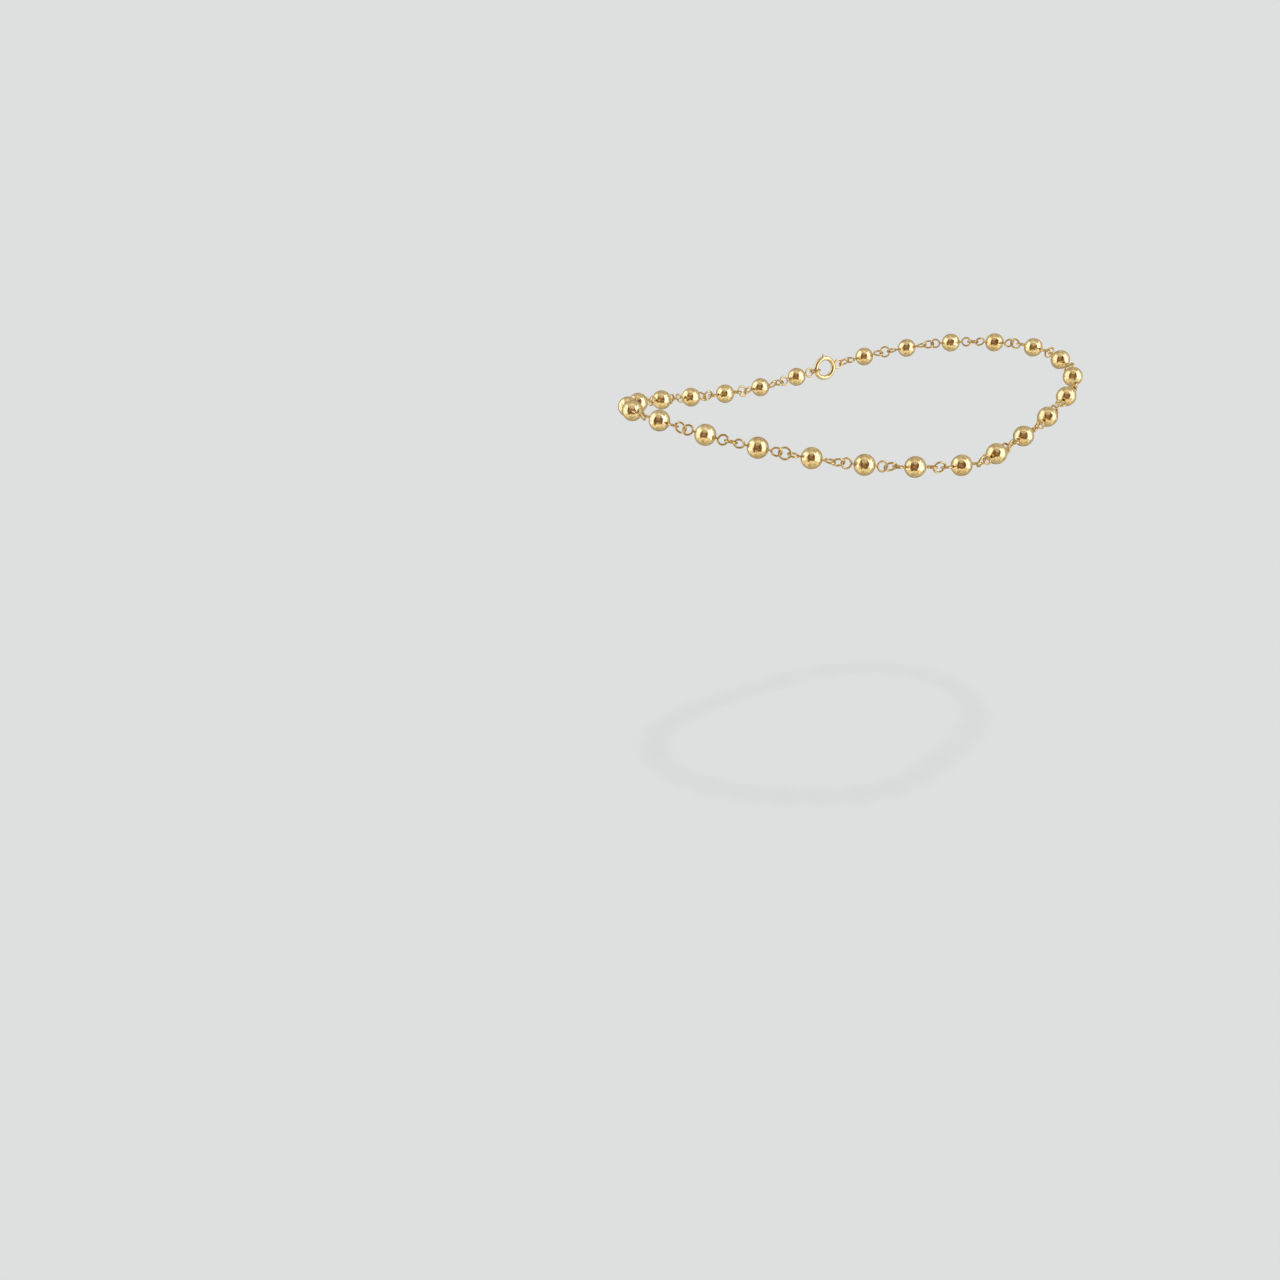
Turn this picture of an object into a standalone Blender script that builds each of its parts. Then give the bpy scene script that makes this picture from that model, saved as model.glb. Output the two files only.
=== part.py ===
"""Gold ball-bead anklet, held open in the form that it takes when it is worn.

Every ball sits on an eye pin: a wire through the ball that ends in a round eye on each side. Round
links join eye to eye, and a plain ring clasp with a soldered eye closes the loop out of sight.

The frame: the origin is the middle of the opening and +Z is up. The loop is long along X and narrow
along Y. It peaks at its -X and +X ends, and its -Y side is the one seen from the front.
"""
import math

import bmesh
import bpy
from mathutils import Matrix, Vector

MM = 0.001

# Driving dimensions
BEAD_COUNT = 26
BEAD_RADIUS = 2.0 * MM
WIRE_RADIUS = 0.2 * MM
EYE_OUTSIDE = 2.25 * MM
LINK_OUTSIDE = 2.6 * MM
NECK_LENGTH = 0.335 * MM
WIRE_CLEARANCE = 0.09 * MM
CLASP_OUTSIDE = 5.4 * MM
CLASP_TUBE_RADIUS = 0.5 * MM
CLASP_KNOB_RADIUS = 0.45 * MM

# Sizes that follow from them; a ring's radius is that of its wire's centre line
EYE_RADIUS = EYE_OUTSIDE / 2 - WIRE_RADIUS
LINK_RADIUS = LINK_OUTSIDE / 2 - WIRE_RADIUS
PIN_REACH = BEAD_RADIUS + NECK_LENGTH + EYE_OUTSIDE / 2
EYE_TO_LINK = EYE_RADIUS + LINK_RADIUS - 2 * WIRE_RADIUS - WIRE_CLEARANCE
EYE_TO_EYE = 2 * EYE_TO_LINK
CLASP_RADIUS = CLASP_OUTSIDE / 2 - CLASP_TUBE_RADIUS
CLASP_TO_LINK = CLASP_RADIUS + LINK_RADIUS - CLASP_TUBE_RADIUS - WIRE_RADIUS - WIRE_CLEARANCE
CLASP_EYE_REACH = CLASP_OUTSIDE / 2 + EYE_RADIUS - WIRE_RADIUS / 2

# Where the chain lies: the closed line of the bead centres, a row for each sixteenth of a turn from +X.
# It is high at its two ends and sags along both sides.
# turn in degrees, distance from the upright axis in mm, height in mm
CHAIN_LINE = (
    (0.0, 48.9, 5.7),
    (22.5, 45.5, 4.5),
    (45.0, 39.2, 1.6),
    (67.5, 33.8, -1.3),
    (90.0, 31.7, -3.2),
    (112.5, 33.4, -3.4),
    (135.0, 39.2, -1.9),
    (157.5, 47.2, 1.0),
    (180.0, 51.4, 4.0),
    (202.5, 46.1, 1.7),
    (225.0, 38.9, -1.6),
    (247.5, 35.4, -3.4),
    (270.0, 34.7, -4.2),
    (292.5, 34.2, -2.8),
    (315.0, 38.2, -0.1),
    (337.5, 45.9, 3.7),
)
FIRST_BEAD_TURN = 163.1
CLASP_AFTER_BEAD = 20

# How each bead's eyes and the link after it are rolled about the chain: 0 faces outwards and 90 stands
# on edge. Eyes and the link through them are 48 degrees or more apart.
# bead number, roll of its eyes, roll of the link that follows it
SEEN_ROLLS = (
    (1, 60, 125),
    (2, 72, 20),
    (3, 70, 14),
    (4, -36, 76),
    (5, 18, -38),
    (6, -88, 40),
    (7, -14, 35),
    (8, 84, 18),
    (9, 76, 22),
    (10, -32, 20),
    (11, 72, 18),
    (12, -36, 30),
    (13, 92, 40),
    (14, -38, 38),
    (15, 94, 32),
)
HIDDEN_ROLL_STEP = 64.0
CLASP_ROLL = 0.0
CLASP_LINK_ROLL = 90.0

# How the walk along the line searches
HALVINGS = 40
SEARCH_AHEAD = 60.0
DIRECTION_STEP = 0.5
TIGHTEST_EASE = 0.95
LOOSEST_EASE = 1.05

# Fineness of the facets
BALL_SIDES = 12
BALL_STEPS = 7
RING_SIDES = 10
WIRE_SIDES = 5
CLASP_SIDES = 14
CLASP_TUBE_SIDES = 6
KNOB_SIDES = 8
KNOB_RINGS = 5
SHARP_ANGLE = 50.0
MERGE_DISTANCE = 0.001 * MM

GOLD_COLOUR = (0.83, 0.58, 0.22, 1.0)
WIRE_COLOUR = (0.80, 0.57, 0.25, 1.0)
CLASP_COLOUR = (0.82, 0.57, 0.22, 1.0)
GOLD_ROUGHNESS = 0.12


def clear_scene():
    """Remove whatever the scene holds."""
    for thing in list(bpy.data.objects):
        bpy.data.objects.remove(thing, do_unlink=True)


def new_collection(name):
    """Make a collection in the scene."""
    collection = bpy.data.collections.new(name)
    bpy.context.scene.collection.children.link(collection)
    return collection


def new_gold(name, colour):
    """Make a polished gold material."""
    material = bpy.data.materials.new(name)
    material.use_nodes = True
    shader = material.node_tree.nodes["Principled BSDF"]
    shader.inputs["Base Color"].default_value = colour
    shader.inputs["Metallic"].default_value = 1.0
    shader.inputs["Roughness"].default_value = GOLD_ROUGHNESS
    material.diffuse_color = colour
    return material


def smooth_between(before, start, end, after, part):
    """Value at a share of the way from start to end on a smooth curve through four rows."""
    slope_in = (end - before) / 2
    slope_out = (after - start) / 2
    rise = end - start
    curve = 3 * rise - 2 * slope_in - slope_out
    twist = slope_in + slope_out - 2 * rise
    return start + part * (slope_in + part * (curve + part * twist))


def line_point(turn, ease):
    """Point of the bead line at a turn in degrees, with the whole line let out by ease."""
    rows = len(CHAIN_LINE)
    place = turn % 360.0 / 360.0 * rows
    row = int(place)
    four = [CHAIN_LINE[(row + step) % rows] for step in (-1, 0, 1, 2)]
    reach = smooth_between(*[each[1] for each in four], place - row) * MM * ease
    height = smooth_between(*[each[2] for each in four], place - row) * MM
    angle = math.radians(turn)
    return Vector((reach * math.cos(angle), reach * math.sin(angle), height))


def line_direction(turn, ease):
    """Unit direction of the bead line at a turn."""
    ahead = line_point(turn + DIRECTION_STEP, ease)
    behind = line_point(turn - DIRECTION_STEP, ease)
    return (ahead - behind).normalized()


def turn_at_distance(start, turn, lead, distance, ease):
    """Turn past which the next piece's near hook, lead before its middle, is a distance from start."""
    low = turn
    high = turn + SEARCH_AHEAD
    for _ in range(HALVINGS):
        middle = (low + high) / 2
        hook = line_point(middle, ease) - line_direction(middle, ease) * lead
        ahead = (hook - start).dot(line_direction(turn, ease)) > 0
        if ahead and (hook - start).length > distance:
            high = middle
        else:
            low = middle
    return (low + high) / 2


def walk_the_chain(ease):
    """Turns of the beads and the clasp along the line, and how far the last eye is from the first."""
    turns = [FIRST_BEAD_TURN]
    clasp_turn = None
    for number in range(2, BEAD_COUNT + 1):
        turn = turns[-1]
        hook = line_point(turn, ease) + line_direction(turn, ease) * PIN_REACH
        if number - 1 == CLASP_AFTER_BEAD:
            clasp_turn = turn_at_distance(hook, turn, CLASP_EYE_REACH, EYE_TO_EYE, ease)
            hook = line_point(clasp_turn, ease)
            turn = turn_at_distance(hook, clasp_turn, PIN_REACH, CLASP_TO_LINK + EYE_TO_LINK, ease)
        else:
            turn = turn_at_distance(hook, turn, PIN_REACH, EYE_TO_EYE, ease)
        turns.append(turn)
    last = line_point(turns[-1], ease) + line_direction(turns[-1], ease) * PIN_REACH
    first = line_point(turns[0], ease) - line_direction(turns[0], ease) * PIN_REACH
    lap_left = turns[0] + 360.0 - turns[-1]
    gap = (first - last).length if lap_left > 0 else -(first - last).length
    return turns, clasp_turn, gap


def close_the_chain():
    """Let the line in or out until the chain's two ends are one link apart."""
    low = TIGHTEST_EASE
    high = LOOSEST_EASE
    for _ in range(HALVINGS):
        ease = (low + high) / 2
        turns, clasp_turn, gap = walk_the_chain(ease)
        if gap > EYE_TO_EYE:
            high = ease
        else:
            low = ease
    return turns, clasp_turn, ease


def placed(middle, along, roll):
    """Matrix that lays a piece's X along the chain and its Z outwards, rolled by degrees."""
    outward = Vector((middle.x, middle.y, 0)).normalized()
    outward = (outward - along * outward.dot(along)).normalized()
    beside = outward.cross(along).normalized()
    turn = Matrix((along, beside, outward)).transposed().to_4x4()
    return Matrix.Translation(middle) @ turn @ Matrix.Rotation(math.radians(roll), 4, "X")


def link_object(name, mesh, collection, material):
    """Add an object for a mesh to a collection."""
    thing = bpy.data.objects.new(name, mesh)
    collection.objects.link(thing)
    if material and not mesh.materials:
        mesh.materials.append(material)
    return thing


def helper(name, mesh, collection):
    """Add a shape that is only joined to another."""
    thing = link_object(name, mesh, collection, None)
    thing.hide_render = True
    thing.display_type = "WIRE"
    return thing


def ring_mesh(name, radius, tube_radius, sides, tube_sides):
    """Ring of wire in the XY plane, from the torus primitive."""
    bpy.ops.mesh.primitive_torus_add(
        major_segments=sides, minor_segments=tube_sides, major_radius=radius, minor_radius=tube_radius
    )
    torus = bpy.context.object
    mesh = torus.data
    mesh.name = name
    bpy.data.objects.remove(torus)
    mesh.shade_smooth()
    return mesh


def evaluated_mesh(thing, name):
    """Plain mesh of an object with its modifiers applied."""
    graph = bpy.context.evaluated_depsgraph_get()
    mesh = bpy.data.meshes.new_from_object(thing.evaluated_get(graph))
    mesh.name = name
    return mesh


def join_helpers(body, helpers):
    """Union a body with its helpers through Boolean modifiers."""
    for each in helpers:
        modifier = body.modifiers.new("join " + each.name, "BOOLEAN")
        modifier.operation = "UNION"
        modifier.solver = "EXACT"
        modifier.object = each


def ball_profile():
    """Profile of a ball with its two pin necks, as (along the pin, off the pin), from +X to -X."""
    rim = math.asin(WIRE_RADIUS / BEAD_RADIUS)
    neck_end = PIN_REACH - EYE_RADIUS
    points = [(neck_end, 0.0), (neck_end, WIRE_RADIUS)]
    for step in range(BALL_STEPS + 1):
        angle = rim + (math.pi - 2 * rim) * step / BALL_STEPS
        points.append((BEAD_RADIUS * math.cos(angle), BEAD_RADIUS * math.sin(angle)))
    points += [(-neck_end, WIRE_RADIUS), (-neck_end, 0.0)]
    return points


def ball_with_necks(collection):
    """Turned body of a bead: the ball and the two short necks of its pin."""
    mesh = bpy.data.meshes.new("ball profile")
    points = [(along, off, 0.0) for along, off in ball_profile()]
    edges = [(step, step + 1) for step in range(len(points) - 1)]
    mesh.from_pydata(points, edges, [])
    ball = helper("ball", mesh, collection)
    screw = ball.modifiers.new("turned", "SCREW")
    screw.axis = "X"
    screw.steps = BALL_SIDES
    screw.render_steps = BALL_SIDES
    screw.use_merge_vertices = True
    screw.merge_threshold = MERGE_DISTANCE
    return ball


def bead_mesh(helpers):
    """One ball on its eye pin: the pin along X, the eyes in the XY plane."""
    ball = ball_with_necks(helpers)
    turned = evaluated_mesh(ball, "turned ball")
    fix = bmesh.new()
    fix.from_mesh(turned)
    bmesh.ops.recalc_face_normals(fix, faces=fix.faces)
    fix.to_mesh(turned)
    fix.free()
    body = helper("bead body", turned, helpers)
    eye = ring_mesh("eye", EYE_RADIUS, WIRE_RADIUS, RING_SIDES, WIRE_SIDES)
    eyes = []
    for side in (1, -1):
        ring = helper("eye %d" % side, eye, helpers)
        ring.location = (side * PIN_REACH, 0, 0)
        eyes.append(ring)
    join_helpers(body, eyes)
    mesh = evaluated_mesh(body, "bead on its eye pin")
    mesh.shade_smooth()
    mesh.set_sharp_from_angle(angle=math.radians(SHARP_ANGLE))
    return mesh


def clasp_mesh(helpers):
    """Plain ring clasp in the XY plane, its soldered eye towards -X and its knob towards +Y."""
    tube = ring_mesh("clasp tube", CLASP_RADIUS, CLASP_TUBE_RADIUS, CLASP_SIDES, CLASP_TUBE_SIDES)
    ring = helper("clasp ring", tube, helpers)
    eye_ring = ring_mesh("clasp eye", EYE_RADIUS, WIRE_RADIUS, RING_SIDES, WIRE_SIDES)
    eye = helper("clasp eye", eye_ring, helpers)
    eye.location = (-CLASP_EYE_REACH, 0, 0)
    bpy.ops.mesh.primitive_uv_sphere_add(
        segments=KNOB_SIDES, ring_count=KNOB_RINGS, radius=CLASP_KNOB_RADIUS
    )
    ball = bpy.context.object
    knob_mesh = ball.data
    bpy.data.objects.remove(ball)
    knob = helper("clasp knob", knob_mesh, helpers)
    knob.location = (0, CLASP_RADIUS + CLASP_TUBE_RADIUS, 0)
    join_helpers(ring, [eye, knob])
    mesh = evaluated_mesh(ring, "ring clasp")
    mesh.shade_smooth()
    mesh.set_sharp_from_angle(angle=math.radians(SHARP_ANGLE))
    return mesh


def roll_of(number):
    """Rolls of a bead's eyes and of the link after it."""
    if number <= len(SEEN_ROLLS):
        return SEEN_ROLLS[number - 1][1:]
    last_link = SEEN_ROLLS[-1][2]
    eyes = last_link + HIDDEN_ROLL_STEP * (2 * (number - len(SEEN_ROLLS)) - 1)
    return eyes, eyes + HIDDEN_ROLL_STEP


def build():
    """Make the whole anklet."""
    clear_scene()
    anklet = new_collection("anklet")
    helpers = new_collection("shapes that are joined")
    gold = new_gold("polished ball gold", GOLD_COLOUR)
    wire = new_gold("gold wire", WIRE_COLOUR)
    clasp_gold = new_gold("clasp gold", CLASP_COLOUR)

    bead = bead_mesh(helpers)
    link = ring_mesh("link", LINK_RADIUS, WIRE_RADIUS, RING_SIDES, WIRE_SIDES)
    clasp_shape = clasp_mesh(helpers)

    turns, clasp_turn, ease = close_the_chain()
    middles = [line_point(turn, ease) for turn in turns]
    directions = [line_direction(turn, ease) for turn in turns]
    clasp_middle = line_point(clasp_turn, ease)
    clasp_direction = line_direction(clasp_turn, ease)

    for number in range(1, BEAD_COUNT + 1):
        eyes_roll, link_roll = roll_of(number)
        middle = middles[number - 1]
        along = directions[number - 1]
        thing = link_object("bead_%02d" % number, bead, anklet, gold)
        thing.matrix_world = placed(middle, along, eyes_roll)

        hook = middle + along * PIN_REACH
        following = number % BEAD_COUNT
        next_hook = middles[following] - directions[following] * PIN_REACH
        if number == CLASP_AFTER_BEAD:
            next_hook = clasp_middle - clasp_direction * CLASP_EYE_REACH
        ring = link_object("link_%02d" % number, link, anklet, wire)
        ring.matrix_world = placed((hook + next_hook) / 2, (next_hook - hook).normalized(), link_roll)

    clasp = link_object("clasp", clasp_shape, anklet, clasp_gold)
    clasp.matrix_world = placed(clasp_middle, clasp_direction, CLASP_ROLL)
    hook = middles[CLASP_AFTER_BEAD] - directions[CLASP_AFTER_BEAD] * PIN_REACH
    run = (hook - clasp_middle).normalized()
    ring = link_object("clasp_link", link, anklet, wire)
    ring.matrix_world = placed(clasp_middle + run * CLASP_TO_LINK, run, CLASP_LINK_ROLL)


build()
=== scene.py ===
"""Looks of the gold ball-bead anklet: drilled balls, wire eye pins, jump rings and a plain ring clasp."""
import math

import bpy
import numpy as np
from mathutils import Matrix, Vector


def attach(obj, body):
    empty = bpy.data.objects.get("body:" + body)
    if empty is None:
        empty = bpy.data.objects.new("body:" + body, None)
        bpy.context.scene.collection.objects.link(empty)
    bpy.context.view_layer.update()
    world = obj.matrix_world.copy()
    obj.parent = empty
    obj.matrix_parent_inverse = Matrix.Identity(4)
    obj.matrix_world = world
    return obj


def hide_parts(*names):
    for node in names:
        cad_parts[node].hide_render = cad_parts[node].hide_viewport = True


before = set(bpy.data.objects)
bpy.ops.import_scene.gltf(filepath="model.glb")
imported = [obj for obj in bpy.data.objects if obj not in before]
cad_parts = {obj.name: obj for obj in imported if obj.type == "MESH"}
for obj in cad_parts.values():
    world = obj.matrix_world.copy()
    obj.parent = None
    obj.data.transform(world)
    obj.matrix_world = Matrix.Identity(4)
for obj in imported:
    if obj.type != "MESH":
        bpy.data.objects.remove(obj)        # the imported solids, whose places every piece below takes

bl_info = {
    "name": "Ball-bead anklet",
    "version": (1, 0, 0),
    "blender": (4, 5, 0),
    "location": "View3D > Sidebar > Anklet",
    "description": "Makes the polished balls, eye pins, jump rings and clasp of a gold ball-bead anklet",
    "category": "Add Mesh",
}

MM = 0.001
BODY = "root"

# The chain's order, counter-clockwise seen from above
BEAD_COUNT = 26
BEADS = ["bead_%02d" % number for number in range(1, BEAD_COUNT + 1)]
LINKS = ["link_%02d" % number for number in range(1, BEAD_COUNT + 1)]
BEAD_BEFORE_CLASP = 20

# Sizes of the real pieces; the solder is a ball of the wire's width, stretched along X, Y and Z
BALL_DIAMETER = 4.0 * MM
BORE_DIAMETER = 0.5 * MM
BORE_LIP = 0.04 * MM
WIRE_DIAMETER = 0.4 * MM
EYE_DIAMETER = 2.25 * MM
LINK_DIAMETER = 2.6 * MM
WIRE_CLEARANCE = 0.09 * MM
CUT_WIDTH = 0.03 * MM
CLASP_DIAMETER = 5.4 * MM
CLASP_TUBE = 1.0 * MM
CLASP_KNOB = 0.9 * MM
CLASP_EYE_REACH = (CLASP_DIAMETER + EYE_DIAMETER - 1.5 * WIRE_DIAMETER) / 2
SOLDER_STRETCH = (0.9, 2.2, 1.35)

# A piece's own Z is turned to the outside of the loop and, by this share, upwards
OUTSIDE_LEAN = 0.5

# Fineness: sides of round sections, steps along lines, and how near two points are to be taken as one
BALL_SIDES = 56
BALL_STEPS = 30
BALL_MERGE = 0.0005 * MM
LIP_STEPS = 3
WIRE_SIDES = 14
EYE_STEPS = 34
BEND_STEPS = 8
LINK_STEPS = 44
CLASP_STEPS = 72
CLASP_TUBE_SIDES = 28
CLASP_MERGE = 0.002 * MM
KNOB_SIDES = 20
KNOB_RINGS = 12

# Where the neck's wire runs into its eye and where the wire ends against it, in degrees round the eye
EYE_LEAVES_NECK = 169.0
EYE_TIP = 190.5

# Colours in linear light
BALL_COLOUR = (0.90, 0.69, 0.34)
WIRE_COLOUR = (0.76, 0.56, 0.235)
CLASP_COLOUR = (0.87, 0.66, 0.32)
BACKDROP_COLOUR = (0.815, 0.825, 0.825)

# The metal's patterns. A grain is in waves to the metre, a span is the part of a pattern over which the
# look changes, and a tone is the share that is left of red, green and blue. Each copy's pattern is moved
# on by its own number along its scatter.
TONE_SPAN = (0.35, 0.7)
SMEAR_SPAN = (0.3, 0.8)
FINE_DEPTH = 0.004 * MM
DENT_DEPTH = 0.02 * MM

BALL_SCATTER = (0.4, 1.0, 0.0)
BALL_GRAIN = 260.0
BALL_DEEP_TONE = (0.95, 0.89, 0.78)
BALL_ROUGHNESS = 0.10
BALL_DULLING = 0.07
SMEAR_GRAIN = 500.0
SCRATCH_GRAIN = 2600.0
SCRATCH_STRETCH = (1.0, 6.0, 6.0)
SCRATCH_STRENGTH = 0.05
WOBBLE_GRAIN = 440.0
WOBBLE_DEPTH = 0.29 * MM
# Painted shade round the bore: the darker, browner tone, how far out from the hole it reaches, and how much
# of it is blended in
BORE_SHADE_TONE = (0.62, 0.5, 0.38)
BORE_SHADE_REACH = 0.95
BORE_SHADE_SHARE = 0.75
BORE_DULLING = 0.18

WIRE_SCATTER = (1.0, 0.0, 0.7)
WIRE_GRAIN = 900.0
WIRE_TONE_SPAN = (0.38, 0.68)
WIRE_DEEP_TONE = (0.86, 0.76, 0.62)
WIRE_ROUGHNESS = 0.12
WIRE_DULLING = 0.09
LINE_GRAIN = 14000.0
LINE_SPAN = (0.3, 0.75)
LINE_RUN_SHARE = 0.06
LINE_STRENGTH = 0.18
DENT_GRAIN = 1500.0
DENT_STRENGTH = 0.4

CLASP_GRAIN = 380.0
CLASP_DEEP_TONE = (0.88, 0.78, 0.62)
CLASP_ROUGHNESS = (0.08, 0.17)
CLASP_SMEAR_GRAIN = 1200.0
CLASP_WOBBLE_GRAIN = 900.0
CLASP_WOBBLE_STRENGTH = 0.35
SOLDER_REACH = (0.3 * MM, 0.9 * MM)
SOLDER_DULLING = 0.2
SOLDER_WOBBLE = 3.0

# The lights: even light from all round, a soft key light, and a light tent that only the metal mirrors.
# The tent's cloth has folds, and its edges wander. Its back is open from a turn on and up to a rise, each
# as middle, half width and softness in degrees. Its patches are given as turn to the camera's right, half
# width, rise, half height and softness in degrees, and colour; later patches cover earlier ones.
ROOM_LIGHT = 0.75
KEY_LIGHT = 0.55
KEY_FROM = (-0.31, -0.43, 0.85)
KEY_SOFTNESS = 4.0
FOLD_SCALE = 5.0
FOLD_SPAN = (0.34, 0.66)
FOLD_LIGHT = (0.74, 1.26)
WANDER_SCALE = 2.4
EDGE_WANDER = 0.6
BACK_TURN = (0.0, 148.0, 7.0)
BACK_RISE = (0.0, 50.0, 12.0)
TENT_CLOTH = (0.57, 0.555, 0.53)
TENT_BACK = (0.42, 0.39, 0.32)
TENT_PATCHES = (
    (0.0, 60.0, 68.0, 14.0, 7.0, (0.86, 0.87, 0.92)),  # over the top
    (0.0, 75.0, -72.0, 20.0, 9.0, (0.66, 0.63, 0.56)),  # under it
    (-5.0, 42.0, -46.0, 13.0, 6.0, (0.99, 0.93, 0.81)),  # the front, below the opening
    (-78.0, 36.0, -34.0, 22.0, 9.0, (0.86, 0.84, 0.78)),  # low on the left
    (72.0, 36.0, -34.0, 22.0, 9.0, (0.96, 0.97, 0.94)),  # low on the right
    (-81.0, 32.0, 14.0, 35.0, 6.0, (1.30, 1.46, 1.76)),  # bright panel on the left
    (71.0, 36.0, 12.0, 38.0, 6.0, (1.80, 2.12, 2.80)),  # bright panel on the right
    (99.0, 5.0, 0.0, 44.0, 4.0, (0.60, 0.55, 0.45)),  # that panel's dim far edge
    (-5.0, 47.0, 3.0, 33.0, 6.0, (0.42, 0.32, 0.23)),  # rim of the front opening
    (-5.0, 37.0, 1.0, 25.0, 4.0, (0.15, 0.085, 0.05)),  # the front opening
    (-9.0, 17.0, 5.0, 13.0, 4.0, (0.36, 0.25, 0.20)),  # inside the opening, on the left
    (11.0, 9.0, -3.0, 15.0, 4.0, (0.30, 0.20, 0.15)),  # inside the opening, on the right
    (-13.0, 6.0, 38.0, 10.0, 4.0, (0.75, 0.70, 0.60)),  # light over the opening
    (8.0, 5.0, 40.0, 10.0, 4.0, (0.75, 0.70, 0.60)),  # light over the opening
    (-42.0, 4.0, 34.0, 13.0, 3.0, (0.20, 0.13, 0.08)),  # dark seam beside it
    (32.0, 4.0, 34.0, 13.0, 3.0, (0.20, 0.13, 0.08)),  # dark seam beside it
    (-5.0, 41.0, -29.0, 4.0, 3.0, (0.17, 0.09, 0.05)),  # dark seam below it
)

# The photograph's camera: where the loop's middle shows in the frame, how far off it is, and its angles
FRAME_PIXELS = 1280
FOCAL_PIXELS = 1400.0
MIDDLE_PIXEL = (858.5, 401.4)
MIDDLE_DEPTH = 287.1 * MM
CAMERA_TURN = 30.64
CAMERA_RISE = 23.85
SENSOR_WIDTH = 36.0
CLIP_START = 5.0 * MM

FLOOR_DROP = 111.0 * MM
FLOOR_RADIUS = 40.0
FLOOR_SIDES = 64
SEED = 4


class BallSettings(bpy.types.PropertyGroup):
    """Sizes and colour of the balls."""

    diameter: bpy.props.FloatProperty(
        name="Ball diameter", description="Outside diameter of each ball",
        default=BALL_DIAMETER, min=0.001, max=0.02, precision=5, subtype="DISTANCE", unit="LENGTH",
    )
    bore: bpy.props.FloatProperty(
        name="Bore diameter", description="Hole through each ball for its pin",
        default=BORE_DIAMETER, min=0.0004, max=0.003, precision=5, subtype="DISTANCE", unit="LENGTH",
    )
    lip: bpy.props.FloatProperty(
        name="Bore lip", description="Rounding where the hole meets the ball",
        default=BORE_LIP, min=0.0, max=0.0005, precision=5, subtype="DISTANCE", unit="LENGTH",
    )
    colour: bpy.props.FloatVectorProperty(
        name="Ball gold", description="Colour of the polished balls",
        default=BALL_COLOUR, min=0.0, max=1.0, size=3, subtype="COLOR",
    )
    roughness: bpy.props.FloatProperty(
        name="Ball roughness", description="How dull the polish is where it is brightest",
        default=BALL_ROUGHNESS, min=0.0, max=1.0, subtype="FACTOR",
    )


class WireSettings(bpy.types.PropertyGroup):
    """Sizes and colour of the eye pins and jump rings."""

    diameter: bpy.props.FloatProperty(
        name="Wire diameter", description="Diameter of the pin and ring wire",
        default=WIRE_DIAMETER, min=0.0001, max=0.002, precision=5, subtype="DISTANCE", unit="LENGTH",
    )
    eye: bpy.props.FloatProperty(
        name="Eye diameter", description="Outside diameter of each pin's eye",
        default=EYE_DIAMETER, min=0.001, max=0.01, precision=5, subtype="DISTANCE", unit="LENGTH",
    )
    link: bpy.props.FloatProperty(
        name="Jump ring diameter", description="Outside diameter of each jump ring",
        default=LINK_DIAMETER, min=0.001, max=0.01, precision=5, subtype="DISTANCE", unit="LENGTH",
    )
    cut: bpy.props.FloatProperty(
        name="Cut width", description="Width of the closed cut in each ring of wire",
        default=CUT_WIDTH, min=0.0, max=0.0005, precision=5, subtype="DISTANCE", unit="LENGTH",
    )
    colour: bpy.props.FloatVectorProperty(
        name="Wire gold", description="Colour of the drawn wire",
        default=WIRE_COLOUR, min=0.0, max=1.0, size=3, subtype="COLOR",
    )
    roughness: bpy.props.FloatProperty(
        name="Wire roughness", description="How dull the wire is between its draw marks",
        default=WIRE_ROUGHNESS, min=0.0, max=1.0, subtype="FACTOR",
    )


class ClaspSettings(bpy.types.PropertyGroup):
    """Sizes and colour of the ring clasp."""

    diameter: bpy.props.FloatProperty(
        name="Clasp diameter", description="Outside diameter of the ring clasp",
        default=CLASP_DIAMETER, min=0.002, max=0.02, precision=5, subtype="DISTANCE", unit="LENGTH",
    )
    tube: bpy.props.FloatProperty(
        name="Clasp tube", description="Diameter of the clasp's tube",
        default=CLASP_TUBE, min=0.0003, max=0.004, precision=5, subtype="DISTANCE", unit="LENGTH",
    )
    knob: bpy.props.FloatProperty(
        name="Clasp knob", description="Diameter of the thumb knob",
        default=CLASP_KNOB, min=0.0003, max=0.004, precision=5, subtype="DISTANCE", unit="LENGTH",
    )
    colour: bpy.props.FloatVectorProperty(
        name="Clasp gold", description="Colour of the clasp",
        default=CLASP_COLOUR, min=0.0, max=1.0, size=3, subtype="COLOR",
    )


class StudioSettings(bpy.types.PropertyGroup):
    """Floor and light of the studio."""

    floor_drop: bpy.props.FloatProperty(
        name="Floor below", description="How far the floor is below the middle of the loop",
        default=FLOOR_DROP, min=0.01, max=1.0, subtype="DISTANCE", unit="LENGTH",
    )
    backdrop: bpy.props.FloatVectorProperty(
        name="Backdrop", description="Colour of the floor and the backdrop",
        default=BACKDROP_COLOUR, min=0.0, max=1.0, size=3, subtype="COLOR",
    )
    light: bpy.props.FloatProperty(
        name="Room light", description="Brightness of the even light from all round",
        default=ROOM_LIGHT, min=0.0, max=20.0,
    )
    key: bpy.props.FloatProperty(
        name="Key light", description="Strength of the soft light from above the camera's left",
        default=KEY_LIGHT, min=0.0, max=20.0,
    )
    tent: bpy.props.FloatProperty(
        name="Light tent", description="Brightness of the light tent that the metal mirrors",
        default=1.0, min=0.0, max=20.0,
    )


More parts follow.
